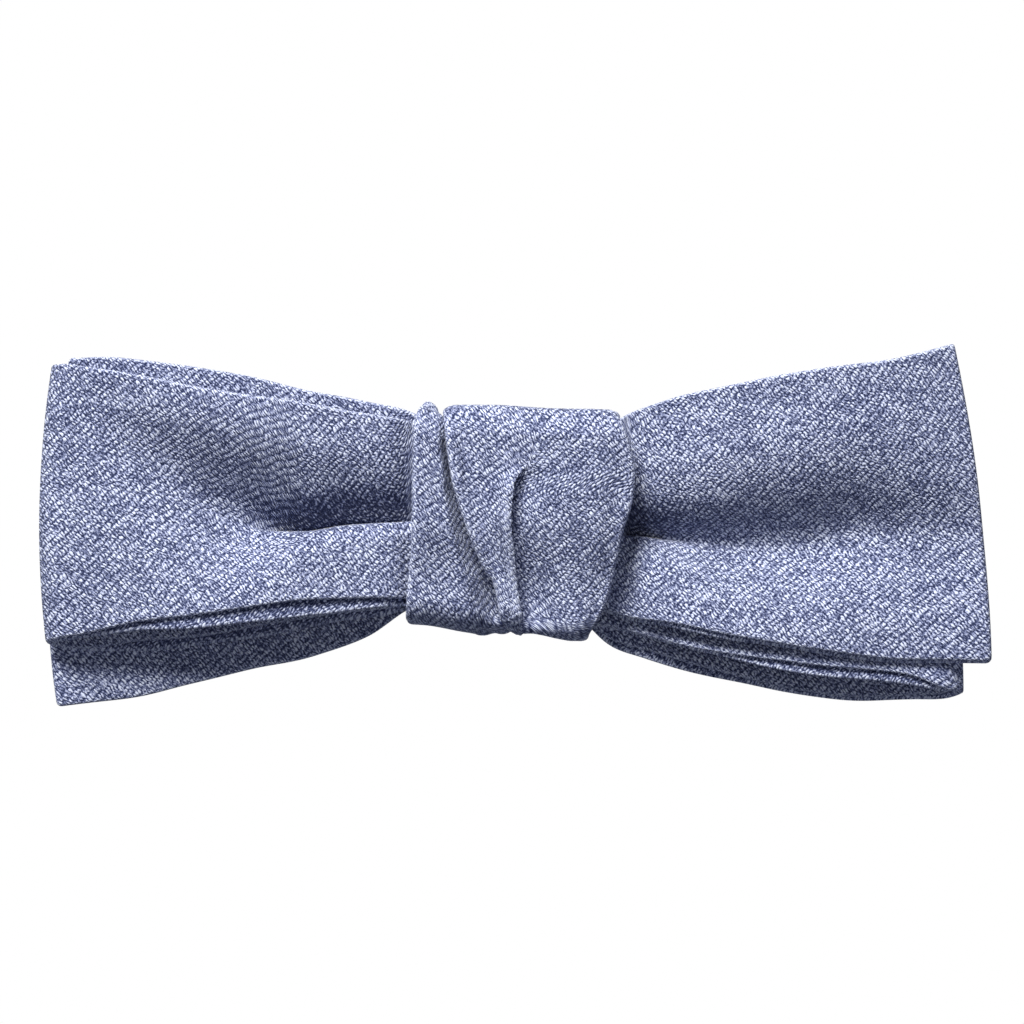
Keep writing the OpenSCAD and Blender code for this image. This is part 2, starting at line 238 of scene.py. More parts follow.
# Slow waves: along the long edges, and over the faces, where they begin and are full at WAVE_X.
# Each face has waves of its own, so the pattern is shifted between the two.
EDGE_WAVE = (0.14, 17)
EDGE_SHIFT = 31
FACE_WAVE = (0.18, 21)
FACE_SHIFT = 40
WAVE_X = (14, 24)
# How far forward the rear strip's lower edge stands, along x. It takes effect downwards over FLARE_DROP
# and away from the knot over FLARE_X.
FLARE = [(-57, 1.1), (8, 1.1), (14, 2.6), (56, 2.6)]
NO_FLARE = [(-60, 0), (60, 0)]
FLARE_DROP = (10, 20)
FLARE_X = (13.5, 22)


def slack(points, side):
    """How much more cloth than height there is between a strip's lower edge and each of its points."""
    step = np.diff(points, axis=1)
    spare = np.linalg.norm(step, axis=2) - abs(step[:, :, 2])
    outer = np.cumsum(spare[:, :FACE_ROWS][:, ::-1], axis=1)[:, ::-1]
    first = len(side) // 2
    inner = np.cumsum(spare[:, first:first + FACE_ROWS], axis=1)
    extra = np.zeros(points.shape[:2])
    extra[:, :FACE_ROWS] = outer
    extra[:, first + 1:first + 1 + FACE_ROWS] = inner
    above = np.arange(len(side)) > first + FACE_ROWS
    return np.where(above, np.where(side == 0, outer[:, :1], inner[:, -1:]), extra)


def with_rounded_ends(rows):
    """Adds the rows that run outwards past both ends while the strip thins. Returns all rows, and the angle
    that each has turned through."""
    turn = np.linspace(0, 1, END_STEPS + 1)[1:] * math.pi / 2 * END_TURN
    full, angle = [], []

    def round_over(row, inward, turns, sign):
        out = (row - inward) / np.hypot(*(row - inward)[1:3])
        for a in turns:
            full.append(row + out * math.sin(a) * CLOTH / 2)
            angle.append(sign * a)

    round_over(rows[0], rows[1], turn[::-1], -1)
    full.extend(rows)
    angle.extend([0] * len(rows))
    round_over(rows[-1], rows[-2], turn, 1)
    return np.array(full), np.array(angle)[:, None]


def strip_faces(rows, columns):
    """Faces of a strip's surface, and of the caps that join its two faces at both ends."""
    faces = grid_faces(rows, columns, False, True)
    for i in (0, rows - 1):
        for j in range(columns // 2 - 1):
            across = columns - 1 - j
            quad = (i * columns + j, i * columns + j + 1, i * columns + across - 1, i * columns + across)
            faces.append(quad[::-1] if i else quad)
    return faces


def strip(name, stations, section, step=0.5, start=0, flare=NO_FLARE):
    """A strip along its stations: (x_top, x_bottom, y, outer top, outer bottom, inner top, inner bottom,
    share of the wing's pinch, bow of the ends). start is how many rows its square end stands back, and
    flare a table of how far its lower edge stands forward, along x."""
    rows, angle = with_rounded_ends(dense_rows(stations, step)[start:])
    thin, squeeze = np.cos(angle), 1 - np.cos(angle)

    x_top, x_low, y, o_top, o_low, i_top, i_low, share, bow = (c[:, None] for c in rows.T)
    x_mid = (x_top + x_low) / 2
    length = running(np.hypot(np.diff(x_mid[:, 0]), np.diff(y[:, 0])))[:, None]
    tx, ty = np.gradient(x_mid[:, 0]), np.gradient(y[:, 0])
    size = np.hypot(tx, ty)
    nx, ny = (-ty / size)[:, None], (tx / size)[:, None]

    height, depth, out, side, end, edge = (c[None, :] for c in section.T)
    # the groove between the two faces' lips is level, however much further one face hangs down
    groove = out == -GROOVE
    top = np.where(groove, np.minimum(o_top, i_top), np.where(side == 0, o_top, i_top)) - END_DRAW * squeeze
    low = np.where(groove, np.maximum(o_low, i_low), np.where(side == 0, o_low, i_low)) + END_DRAW * squeeze
    z = low + LIP + (top - low - 2 * LIP) * height + end * out
    v = (z - low) / (top - low)
    x = x_low + (x_top - x_low) * v + bow * 4 * v * (1 - v)
    z = z + ripple(length + EDGE_SHIFT * side, 0 * z, *EDGE_WAVE)
    # deep is the shade painted into the wings' creases
    back, up, deep = wing_relief(x, z, share)
    y = y + back + ripple(x + FACE_SHIFT * side, z, *FACE_WAVE) * ramp(abs(x), *WAVE_X)
    y = y - through(flare, x) * ramp(-z, *FLARE_DROP) * ramp(abs(x), *FLARE_X)
    bulk = depth * thin * CLOTH / 2
    points = np.stack([x + nx * bulk, y + ny * bulk, z + up], axis=-1)

    round_the_end = (angle - np.sin(angle)) * CLOTH / 2
    grain = np.where(side == 0, 1, -1) * (length + round_the_end + 0 * z)
    over_the_lip = z + end * (1 - np.abs(depth)) * CLOTH / 2 + slack(points, side[0])
    uv = np.stack([grain, over_the_lip], axis=-1).reshape(-1, 2)
    # the edge attribute: painted highlights on the lips, less the shade painted into the creases
    return new_mesh(name, points.reshape(-1, 3), strip_faces(*points.shape[:2]), uv, (edge - deep).ravel())


# How the wings are pinched at the knot. Each list gives a value along x, in mm: where the valley's lowest
# line runs, how deep it is, how wide it is above and below that line, how sharp its bottom is (2 is round,
# 1 a crisp fold), how far the cloth above slides down behind the cloth below, how much deeper a narrow
# trench goes just behind that cloth, how much the lower panel leans out, and the size and height of the
# swell above the valley.
LEFT_PINCH = {
    "axis": [(-58, 13.5), (-50, 9.5), (-44, 5.6), (-39, 2.2), (-35, 0.2), (-31, -0.4), (-27, -0.6),
             (-22, 0.1), (-13.5, 0.6)],
    "depth": [(-57, 0), (-50, 1.2), (-42, 3), (-35, 4.7), (-28, 4.9), (-20, 4.5), (-14.5, 3.6), (-12.6, 0.5),
              (-11, 0)],
    "upper": [(-50, 7), (-35, 6.8), (-28, 5.6), (-20, 4.6), (-14, 3.8)],
    "lower": [(-50, 10), (-42, 8), (-36, 6), (-32, 3.4), (-28, 1.2), (-25, 0.8), (-14, 0.6)],
    "sharpness": [(-42, 2), (-34, 1.8), (-27, 1.25), (-13, 1.15)],
    "slide": [(-35, 0), (-32, 0.5), (-28, 1.4), (-25, 1.7), (-14, 1.7), (-12, 0)],
    "trench": [(-35.5, 0), (-32, 0.9), (-27, 2.3), (-15.5, 1.9), (-13, 0)],
    "lean": [(-52, 0), (-40, 0.08), (-30, 0.12), (-18, 0.13), (-14, 0.06), (-12.5, 0)],
    "swell": [(-56, 0), (-44, 0.5), (-30, 0.9), (-18, 0.6), (-14, 0.2), (-12.5, 0)],
    "swell_z": [(-56, 15.5), (-40, 14), (-30, 11), (-20, 8.5), (-14, 7.5)],
}
RIGHT_PINCH = {
    "axis": [(11, -1), (14, -1), (20, -1.7), (26, -2.6), (34, -2.8), (42, -1.6), (54, -2)],
    "depth": [(11, 0), (12.6, 0.5), (14.5, 3), (20, 4.3), (30, 5), (40, 4.8), (50, 3.6), (58, 1.6)],
    "upper": [(13, 2.2), (20, 3.2), (30, 5), (54, 6.3)],
    "lower": [(13, 0.8), (17, 2), (21, 3.4), (28, 5), (38, 6.5), (50, 8)],
    "sharpness": [(13, 1.15), (20, 1.35), (28, 1.8), (40, 2)],
    "slide": [(11, 0), (13, 0.9), (16, 0.7), (20, 0.2), (23, 0)],
    "trench": [(12.5, 0), (14, 1.6), (18, 1.1), (24, 0.4), (30, 0)],
    "lean": [(12.5, 0), (14, 0.06), (17, 0.14), (28, 0.12), (40, 0.04), (54, 0)],
    "swell": [(12.5, 0), (14, 0.2), (20, 0.4), (32, 0.6), (46, 0.4), (58, 0)],
    "swell_z": [(14, 8), (30, 9.5), (50, 13)],
}
SWELL_SIZE = 4.5
# The trench reaches TRENCH_ABOVE up from the valley's line and TRENCH_BELOW down. The layers behind bend
# more gently: their trench and their valley reach further down, by up to the BLUNT values.
TRENCH_ABOVE = 2.8
TRENCH_BELOW = 0.5
BLUNT_TRENCH = 3
BLUNT_VALLEY = 4
ROUND = 2
# The slide draws the cloth down most at SLIDE_LINE, and less over SLIDE_ABOVE upwards and SLIDE_BELOW
# downwards. A share of it, LIFT, pushes the fold's own lip up at LIFT_LINE (place and size).
SLIDE_LINE = 0.15
SLIDE_ABOVE = 4
SLIDE_BELOW = 0.45
LIFT = 0.35
LIFT_LINE = (-0.6, 0.5)
# The painted shade in the crease is darkest at the next value (place and size) above the valley's line.
# It is 1 where the trench is FULL_TRENCH deep.
PAINTED_SHADE_LINE = (2.6, 1.9)
FULL_TRENCH = 1.5
# The cloth dips at THROAT_X (place and size), where it goes in under the knot.
THROAT_X = (13.6, 1.5)
THROAT_DEPTH = 0.9


def hump(value, middle, size):
    """1 at the middle, falling off smoothly to both sides."""
    return np.exp(-(((value - middle) / size) ** 2))


def pinch(shape, x, z, blunt):
    """One wing's pinch: how far the cloth at (x, z) moves back, and up, and how much shade is painted
    into the crease there.
    blunt is 0 where the crease is crisp, and up to 1 in the layers behind, which bend more gently."""
    at = {key: through(points, x) for key, points in shape.items()}
    above = z - at["axis"]
    width = np.where(above > 0, at["upper"], at["lower"] + BLUNT_VALLEY * blunt)
    sharpness = at["sharpness"] + (ROUND - at["sharpness"]) * np.minimum(1, 2 * blunt)
    back = at["depth"] * np.exp(-np.abs(above / width) ** sharpness)
    trench_size = np.where(above > 0, TRENCH_ABOVE, TRENCH_BELOW + BLUNT_TRENCH * blunt)
    back = back + at["trench"] * hump(above, 0, trench_size)
    back = back - at["lean"] * np.maximum(-above, 0)
    back = back - at["swell"] * hump(z, at["swell_z"], SWELL_SIZE)
    back = back + THROAT_DEPTH * hump(abs(x), *THROAT_X)
    sinking = hump(above, SLIDE_LINE, np.where(above > SLIDE_LINE, SLIDE_ABOVE, SLIDE_BELOW))
    lifting = LIFT * hump(above, *LIFT_LINE)
    # painted shade in the crease, darkest a little above the valley's line where the trench is deep
    deep = at["trench"] / FULL_TRENCH * hump(above, *PAINTED_SHADE_LINE)
    return back, at["slide"] * (lifting - sinking), deep


def wing_relief(x, z, share):
    """How far the cloth at (x, z) moves back along y and up along z, for layers that take a share of it, and
    how much shade is painted into the crease there, up to about 1.5."""
    left, right = pinch(LEFT_PINCH, x, z, 1 - share), pinch(RIGHT_PINCH, x, z, 1 - share)
    back, up, deep = (np.where(x < 0, a, b) for a, b in zip(left, right))
    return share * back, share ** 2 * up, share * deep


# The strips' stations, in the columns that strip() names. The front strip runs from its square end at the
# right through the knot, round the left loop and back through the knot. The rear strip runs from its flat
# end behind at the left through the knot, round the right loop and back through the knot.
FRONT_STATIONS = [
    (54.2, 58.6, -12.0, 22.7, -17.2, 22.3, -17.4, 0.9, 0.9),
    (50, 52.5, -12.6, 21.6, -17, 21.2, -17.4, 0.9, 0.7),
    (42, 43, -13.2, 20.3, -16.4, 19.9, -16.9, 1, 0.4),
    (32, 32, -13.2, 18.7, -14.8, 18.3, -15.3, 1, 0),
    (24, 24, -12.8, 17.1, -13.3, 16.7, -13.9, 1, 0),
    (18, 18, -11.5, 15.6, -12.1, 15.2, -12.7, 1, 0),
    (13.5, 13.5, -10.2, 14, -11.5, 13.4, -12, 1, 0),
    (8, 8, -10.7, 10.5, -9.9, 10.5, -9.9, 1, 0),
    (-8, -8, -10.7, 10.5, -9.4, 10.5, -9.6, 1, 0),
    (-13.5, -13.5, -11, 13, -9.3, 12.6, -10.2, 1, 0),
    (-18, -18, -12, 13.8, -9.2, 13.4, -10.5, 1, 0),
    (-24, -24, -12.8, 14.8, -9.3, 14.4, -11.1, 1, 0),
    (-32, -32, -13.3, 16.1, -10, 15.7, -12, 1, 0),
    (-40, -40, -13.5, 17.4, -11.1, 17, -12.85, 1, -0.2),
    (-48, -48, -13.2, 18.8, -12.3, 18.4, -13.4, 1, -0.6),
    (-54.6, -54.8, -12.3, 20, -13.7, 19.6, -14.2, 1, -1),
    (-57.1, -57.9, -11.5, 20.3, -14.3, 19.9, -14.6, 1, -1.1),
    (-58.3, -59.1, -10.2, 20.2, -14.9, 19.8, -14.8, 1, -1.2),
    (-57.1, -57.9, -8.9, 20.2, -15.6, 19.8, -15.3, 0.9, -1.1),
    (-54.6, -54.8, -8.2, 19.8, -15.9, 19.4, -15.6, 0.7, -1),
    (-48, -48, -7.9, 18.6, -15.9, 18.2, -14.7, 0.45, -0.6),
    (-40, -40, -7.8, 17.2, -15.25, 16.8, -14.1, 0.5, -0.2),
    (-32, -32, -7.8, 15.8, -14, 15.4, -12.6, 0.5, 0),
    (-24, -24, -8.2, 14.5, -12.35, 14.1, -11.3, 0.6, 0),
    (-18, -18, -8.6, 13.5, -11.6, 13.1, -10.8, 0.7, 0),
    (-13.5, -13.5, -9, 12.4, -10.6, 12, -10.1, 0.85, 0),
    (-8, -8, -9.1, 10.5, -9.6, 10.5, -9.6, 1, 0),
    (8, 8, -9.1, 10.5, -9.8, 10.5, -9.8, 1, 0),
]

REAR_STATIONS = [
    (-56.6, -57.9, -6.6, 21, -22.6, 21.2, -22.9, 0.35, -1.9),
    (-50, -50, -6, 20.9, -21.7, 21.2, -22, 0.4, -0.9),
    (-42, -42, -5.6, 19.9, -20, 20.2, -20.2, 0.4, -0.3),
    (-34, -34, -5.4, 18.4, -18.2, 18.7, -18.4, 0.4, 0),
    (-26, -26, -5.6, 16.7, -16.3, 17, -16.5, 0.48, 0),
    (-19, -19, -5.7, 15.2, -13.8, 15.6, -14, 0.5, 0),
    (-13.5, -13.5, -5.9, 13.8, -10.3, 14.2, -10.5, 0.6, 0),
    (-8, -8, -5.9, 10.5, -9.9, 10.5, -9.9, 1, 0),
    (7.5, 7.5, -5.9, 10.5, -11.7, 10.5, -11.4, 1, 0),
    (11, 11, -5.8, 11.8, -15, 11.8, -14.2, 0.9, 0),
    (16, 16, -5.3, 13.4, -17, 13.4, -16, 0.6, 0),
    (24, 24, -4.4, 15.6, -19.2, 15.6, -18.2, 0.35, 0),
    (34, 34, -3.6, 18, -21.2, 18, -20.7, 0.25, 0),
    (43, 43, -3.5, 19.3, -22.3, 19.3, -21.8, 0.25, 0),
    (50, 50, -4, 20, -22.2, 20, -21.7, 0.3, 0),
    (53.2, 53.9, -5, 20, -21.9, 20, -21.3, 0.4, 0.2),
    (53.9, 55.3, -6.9, 20, -21.2, 20, -20.6, 0.5, 0.3),
    (53.2, 53.9, -8.7, 20, -20.9, 20, -20.9, 0.55, 0.2),
    (50, 50, -9.4, 20, -19.2, 20, -20.2, 0.66, 0),
    (43, 43, -9.8, 19.2, -18.1, 19.2, -19.5, 0.72, 0),
    (34, 34, -9.9, 17.8, -17.3, 17.8, -18.5, 0.72, 0),
    (24, 24, -9.3, 15.4, -15.75, 15.4, -16.2, 0.75, 0),
    (16, 16, -8.2, 13.4, -14, 13.4, -14.2, 0.85, 0),
    (11, 11, -7.6, 11.6, -12.9, 11.6, -13.1, 0.95, 0),
    (7.5, 7.5, -7.5, 10.5, -11.7, 10.5, -11.7, 1, 0),
    (-8, -8, -7.5, 10.5, -9.9, 10.5, -9.9, 1, 0),
]


# -------- knot

# The knot's two turns are bands of thickness TURN round the waist, with the knot's middle at KNOT_Y.
KNOT_Y = -8.3
TURN = 1.45
OUTER_HALF_D = 6.05
INNER_HALF_D = 4.6
RING_HALF_H = 14
RING_STEPS = 240
RING_CORNER = 1.2
CORNER_STEPS = 32
# Depths, from -1 to 1, between which a band's rear edge lines give way to its front ones.
EDGE_CHANGE = (-0.4, 0.4)
BAND_LIP_STEPS = 7
# A highlight is painted on the bands' rolled lips, this strong.
BAND_LIP_HIGHLIGHT = 0.6


def grain_of(surface):
    """Weave coordinates measured over a grid of points: along it from its left edge, and round it from
    the middle row."""
    across = np.linalg.norm(np.diff(surface, axis=1), axis=2)
    round_it = np.linalg.norm(np.diff(surface, axis=0), axis=2)
    u = surface[:, :1, 0] + np.concatenate([0 * across[:, :1], np.cumsum(across, axis=1)], axis=1)
    v = np.concatenate([0 * round_it[:1], np.cumsum(round_it, axis=0)])
    return np.stack([u, v - v[len(v) // 2]], axis=-1)


def shell(name, mid, thickness, wrap, rise=0.0, slide=0.0, painted_highlight=0.0):
    """A closed sheet of the given thickness round a grid of points, with rounded edges along its columns,
    which carry a painted highlight. wrap joins the last row to the first; otherwise the rows' ends are
    capped. rise and slide move both faces outwards and along x, and the last argument is the faces' edge
    attribute, a painted highlight; each is a number or a grid."""
    along = np.gradient(mid, axis=0)
    if wrap:
        along[0] = along[-1] = (mid[1] - mid[-1]) / 2
    across = np.gradient(mid, axis=1)
    normal = np.cross(along, across)
    normal /= np.linalg.norm(normal, axis=2, keepdims=True)
    out = across / np.linalg.norm(across, axis=2, keepdims=True)
    shift = normal * np.atleast_3d(rise) + np.array([1.0, 0, 0]) * np.atleast_3d(slide)
    shift = np.broadcast_to(shift, mid.shape)
    uv = grain_of(mid + shift)
    painted_highlight = np.broadcast_to(painted_highlight, mid.shape[:2])
    half = thickness / 2
    count = mid.shape[1]
    columns, coords, edge = [], [], []

    def column(j, outwards, sideways, wrapped, lip):
        offset = normal[:, j] * half * outwards + out[:, j] * half * sideways
        columns.append(mid[:, j] + offset + shift[:, j])
        coords.append(uv[:, j] + [wrapped * half, 0])
        edge.append(np.maximum(painted_highlight[:, j], lip))

    lip_angles = [math.radians(a) for a in np.linspace(90, -90, BAND_LIP_STEPS + 2)[1:-1]]
    quarter = math.pi / 2
    for j in range(count):
        column(j, 1, 0, 0, 0)
    for a in lip_angles:
        column(count - 1, math.sin(a), math.cos(a), quarter - a, BAND_LIP_HIGHLIGHT)
    for j in reversed(range(count)):
        column(j, -1, 0, 0, 0)
    for a in lip_angles:
        column(0, -math.sin(a), -math.cos(a), -quarter - a, BAND_LIP_HIGHLIGHT)
    points = np.stack(columns, axis=1)
    n, k = points.shape[:2]
    faces = grid_faces(n, k, wrap, True)
    if not wrap:
        for i in (0, n - 1):
            ring = [i * k + j for j in range(k)]
            faces.append(ring if i else ring[::-1])
    uvs = np.stack(coords, axis=1).reshape(-1, 2)
    return new_mesh(name, points.reshape(-1, 3), faces, uvs, np.stack(edge, axis=1).ravel())


def rounded_ring(half_d, half_h, radius, count):
    """Points spaced evenly round a rounded rectangle, as (depth, height) from -1 to 1, from the back on."""
    flat_d, flat_h = half_d - radius, half_h - radius
    path = []
    for quarter, (sd, sh) in enumerate(((-1, 1), (1, 1), (1, -1), (-1, -1))):
        start = math.pi - quarter * math.pi / 2
        for k in range(CORNER_STEPS + 1):
            a = start - k / CORNER_STEPS * math.pi / 2
            path.append((sd * flat_d + radius * math.cos(a), sh * flat_h + radius * math.sin(a)))
    path = np.array([(-half_d, 0)] + path + [(-half_d, 0)])
    run = running(np.hypot(*np.diff(path, axis=0).T))
    at = np.linspace(0, run[-1], count, endpoint=False)
    return np.interp(at, run, path[:, 0]) / half_d, np.interp(at, run, path[:, 1]) / half_h


def ring_grid(left, right, half_d, top, low, columns):
    """Grid of points round the waist. left and right give the band's edges in x for heights -1 to 1, one
    pair for the front and one for the back. top and low give its height limits along x."""
    deep, high = rounded_ring(half_d, RING_HALF_H, RING_CORNER, RING_STEPS)
    deep, high = deep[:, None], high[:, None]
    w = columns[None, :]
    front = ramp(deep, *EDGE_CHANGE)
    x_left = through(left[1], high) * (1 - front) + through(left[0], high) * front
    x_right = through(right[1], high) * (1 - front) + through(right[0], high) * front
    x = x_left + (x_right - x_left) * w
    z_top, z_low = through(top, x), through(low, x)
    z = (z_top + z_low) / 2 + high * (z_top - z_low) / 2
    y = KNOT_Y - deep * half_d + 0 * x
    return x, y, z, high + 0 * x, w + 0 * x


# Edges of the two turns: left and right ones as (height -1 to 1, x), first on the front and then on the
# back, and upper and lower ones as (x, z).
INNER_LEFT = [
    [(-1, -13.6), (-0.85, -13.5), (-0.3, -12.9), (0.7, -12.7), (0.92, -12.55), (1, -12.35)],
    [(-1, -13.6), (-0.3, -12.6), (1, -12.35)],
]
INNER_RIGHT = [[(-1, 3), (1, 4)], [(-1, 3), (1, 4)]]
INNER_TOP = [(-14, 14), (-12.7, 14), (-11.7, 13.5), (-10.5, 12.9), (-9, 12.6), (6, 12.8)]
INNER_LOW = [(-15, -10.6), (-11.7, -10.8), (-7.2, -11.6), (-5, -12), (-3.6, -12.7), (-2.2, -13.1),
             (-0.8, -12.6), (6, -12.8)]
OUTER_LEFT = [
    [(-1, -1.5), (-0.9, -2), (-0.66, -2.9), (-0.4, -4.5), (-0.14, -5.9), (0.1, -6.9), (0.32, -7.8),
     (0.56, -8.3), (0.8, -8.7), (1, -8.9)],
    [(-1, -1.5), (-0.4, -5), (0.4, -9), (1, -8.9)],
]
OUTER_RIGHT = [
    [(-1, 8), (-0.86, 9.6), (-0.62, 10.7), (-0.38, 11.4), (-0.06, 12.3), (0.24, 13.4), (0.5, 13.7),
     (0.78, 13.2), (0.92, 12.4), (1, 11.2)],
    [(-1, 8), (-0.6, 11), (0.2, 12.4), (1, 12)],
]
OUTER_TOP = [(-9.6, 13.5), (-8.2, 14.2), (-3.9, 14.1), (4, 13.6), (11.7, 13.7), (13.4, 12.9)]
OUTER_LOW = [(-3.2, -12), (-1.8, -12.4), (-0.9, -12), (0, -11.9), (1.2, -12.4), (2.6, -12.9), (4.2, -13.3),
             (6.2, -13.7), (7.6, -13.95), (10, -12.9)]

# The fold down the knot's front. Its line is (height -1 to 1, x), and its section (mm right of that line,
# rise, slide along x). It fades out over FOLD_FADE in height, and weakens over FOLD_END at the bottom.
FOLD_LINE = [(-1, 0.25), (-0.9, 0.1), (-0.6, -0.5), (-0.3, -0.9), (0, -1.3), (0.3, -1), (0.41, -0.5),
             (0.47, 0.3), (0.62, 1.3), (1, 2)]
FOLD_SECTION = [(-6, 0.1, 0), (-3, 0.35, 0), (-1.7, 1, 0.05), (-0.8, 1.9, 0.3), (-0.25, 1.6, 0.45),
                (0.1, 0.2, -0.15), (0.45, -0.6, -0.6), (1.2, -0.7, -0.5), (2.4, -0.1, -0.1), (4, 0.5, 0),
                (7, 0.75, 0), (10, 0.5, 0), (13, 0, 0)]
FOLD_FADE = (0.26, 0.56)
FOLD_END = (0.88, 1)
FOLD_END_LOSS = 0.7
# A highlight is painted along the fold's crest, at the next value right of the fold line (place and size).
RIDGE_HIGHLIGHT = (-0.6, 0.5)
# Columns of points across the outer turn: (from, to, count), with most of them at the fold.
OUTER_COLUMNS = [(0, 0.4, 26), (0.41, 0.6, 50), (0.62, 1, 36)]
INNER_COLUMNS = (0, 1, 60)
# Shaping of the outer turn's front: its left edge stands up, its right edge rolls away, and it is crowned.
LEFT_EDGE_LIFT = 0.9
LEFT_EDGE_SIZE = 1.6
LEFT_EDGE_FADE = (0.7, 1)
RIGHT_EDGE_ROLL = 0.25
RIGHT_EDGE_FROM = 0.86
CROWN = 0.9
OUTER_WAVE = (0.12, 9)
# The hollow beside the fold's lower half: depth, then how far right of the fold, and z, each with a size.
HOLLOW_DEPTH = 1.2
HOLLOW_BESIDE = (2.6, 2.4)
HOLLOW_Z = (-9, 5)
# Shaping of the inner turn's front. It swells at its left. It sinks from REACH left of the outer turn's
# edge, which is given by height z, to SINK_END left of it.
INNER_REACH = [(-10, 5), (-2, 3.2), (6, 1.7)]
INNER_SINK_END = 0.3
INNER_SWELL = 3
INNER_SINK = 1
INNER_EDGE_ROLL = 0.2
INNER_EDGE_SHARE = 0.1
INNER_WAVE = (0.1, 8)
INNER_SHIFT = 9
# Behind, the inner turn rises over LEVEL_OVER mm from the outer turn's edge, to come out level with it.
LEVEL_OVER = (1, 3)
# A turn's front and back shaping begin and are full at these shares of its half depth from the middle.
FRONT_FROM = (0.1, 0.8)
BEHIND_FROM = (0.3, 0.9)
# The knot's upper half overhangs its lower half by OVERHANG, between these heights, and all of the front is
# set back by RECESS. The shaping fades by LOSS where the front turns over, at these heights from 0 to 1.
OVERHANG = 1.3
OVERHANG_Z = (-8.5, 1.5)
RECESS = 0.5
TOP_TURN = (0.82, 0.98)
TOP_TURN_LOSS = 0.8
LOW_TURN = (0.88, 1)
LOW_TURN_LOSS = 0.3


def brow(z):
    """How far the knot's front stands out at height z: its upper half overhangs its lower half."""
    return OVERHANG * ramp(z, *OVERHANG_Z) - RECESS


def facing(high):
    """1 on the knot's front face, less where it turns over at the top and bottom."""
    return 1 - TOP_TURN_LOSS * ramp(high, *TOP_TURN) - LOW_TURN_LOSS * ramp(-high, *LOW_TURN)


def knot_outer():
    """The knot's outer turn, with the fold that runs down its front."""
    columns = np.concatenate([np.linspace(*run) for run in OUTER_COLUMNS])
    x, y, z, high, w = ring_grid(OUTER_LEFT, OUTER_RIGHT, OUTER_HALF_D, OUTER_TOP, OUTER_LOW, columns)
    # the columns' middle follows the fold line, so that the fold is crisp
    left, right = x[:, :1], x[:, -1:]
    fold = through(FOLD_LINE, high[:, :1])
    bent = np.where(w < 0.5, left + (fold - left) * w * 2, fold + (right - fold) * (w * 2 - 1))
    front = ramp((KNOT_Y - y) / OUTER_HALF_D, *FRONT_FROM)
    x = x + (bent - x) * front
    beside = x - fold
    strength = (1 - ramp(high, *FOLD_FADE)) * (1 - FOLD_END_LOSS * ramp(-high, *FOLD_END)) * front
    rise = through([(t, r) for t, r, _ in FOLD_SECTION], beside) * strength
    slide = through([(t, sl) for t, _, sl in FOLD_SECTION], beside) * strength
    at_left = 1 - ramp(x - left, 0, LEFT_EDGE_SIZE)
    lifted_edge = LEFT_EDGE_LIFT * at_left * (1 - ramp(high, *LEFT_EDGE_FADE))
    rolled_edge = RIGHT_EDGE_ROLL * ramp(w, RIGHT_EDGE_FROM, 1) ** 2
    crown = CROWN * np.sin(math.pi * w) * (1 - 0.5 * strength)
    hollow = HOLLOW_DEPTH * hump(beside, *HOLLOW_BESIDE) * hump(z, *HOLLOW_Z)
    wave = ripple(x, z, *OUTER_WAVE)
    rise = rise + front * (lifted_edge - rolled_edge + crown - hollow + brow(z) + wave)
    rise = rise * facing(high)
    # painted highlight along the fold's crest
    painted_ridge_highlight = hump(beside, *RIDGE_HIGHLIGHT) * strength
    return shell("knot_outer_turn_cloth", np.stack([x, y, z], axis=-1), TURN, True, rise, slide, painted_ridge_highlight)


def knot_inner():
    """The knot's under turn, which shows at the left."""
    columns = np.linspace(*INNER_COLUMNS)
    x, y, z, high, w = ring_grid(INNER_LEFT, INNER_RIGHT, INNER_HALF_D, INNER_TOP, INNER_LOW, columns)
    front = ramp((KNOT_Y - y) / INNER_HALF_D, *FRONT_FROM)
    # the strip is full at its left and sinks where the outer turn crosses it
    crossing = through(OUTER_LEFT[0], high)
    sinking = ramp(x, crossing - through(INNER_REACH, z), crossing - INNER_SINK_END)
    fullness = INNER_SWELL * (1 - sinking) - INNER_SINK
    rolled_edge = INNER_EDGE_ROLL * (1 - ramp(w, 0, INNER_EDGE_SHARE)) ** 2
    wave = ripple(x + INNER_SHIFT, z, *INNER_WAVE)
    rise = front * (fullness - rolled_edge + brow(z) + wave) * facing(high)
    # behind, it comes out level with the outer turn beside it
    behind = ramp((y - KNOT_Y) / INNER_HALF_D, *BEHIND_FROM)
    rise = rise + behind * TURN * ramp(through(OUTER_LEFT[1], high) - x, *LEVEL_OVER)
    return shell("knot_inner_turn_cloth", np.stack([x, y, z], axis=-1), TURN, True, rise)


# -------- thread, tape and spring

THREAD_R = 0.225
STITCH_BEND = 1.6 * THREAD_R
PATH_STEP = 0.1


def tubes(name, paths, radius, sides=12):
    """One mesh of round cords along paths of points in mm. The weave map runs along each and round it."""
    points, faces, uv = [], [], []
    turn = np.linspace(0, 2 * math.pi, sides, endpoint=False)[:, None]
    for path in paths:
        path = np.array(path, float)
        along = np.gradient(path, axis=0)
        along /= np.linalg.norm(along, axis=1, keepdims=True)
        # a side direction is carried along the path without twisting
        side = np.cross(along[0], np.roll(along[0], 1) + [0.3, 0.2, 0.1])
        run = running(np.linalg.norm(np.diff(path, axis=0), axis=1))
        first = len(points)
        for place, direction, length in zip(path, along, run):
            side = side - direction * np.dot(side, direction)
            side = side / np.linalg.norm(side)
            other = np.cross(direction, side)
            points.extend(place + radius * (np.cos(turn) * side + np.sin(turn) * other))
            uv.extend(np.hstack([0 * turn + length, radius * turn]))
        faces += [[first + i for i in face] for face in grid_faces(len(path), sides, False, True)]
        faces.append([first + i for i in range(sides)])
        faces.append([len(points) - 1 - i for i in range(sides)])
    return new_mesh(name, points, faces, uv, np.zeros(len(points)))


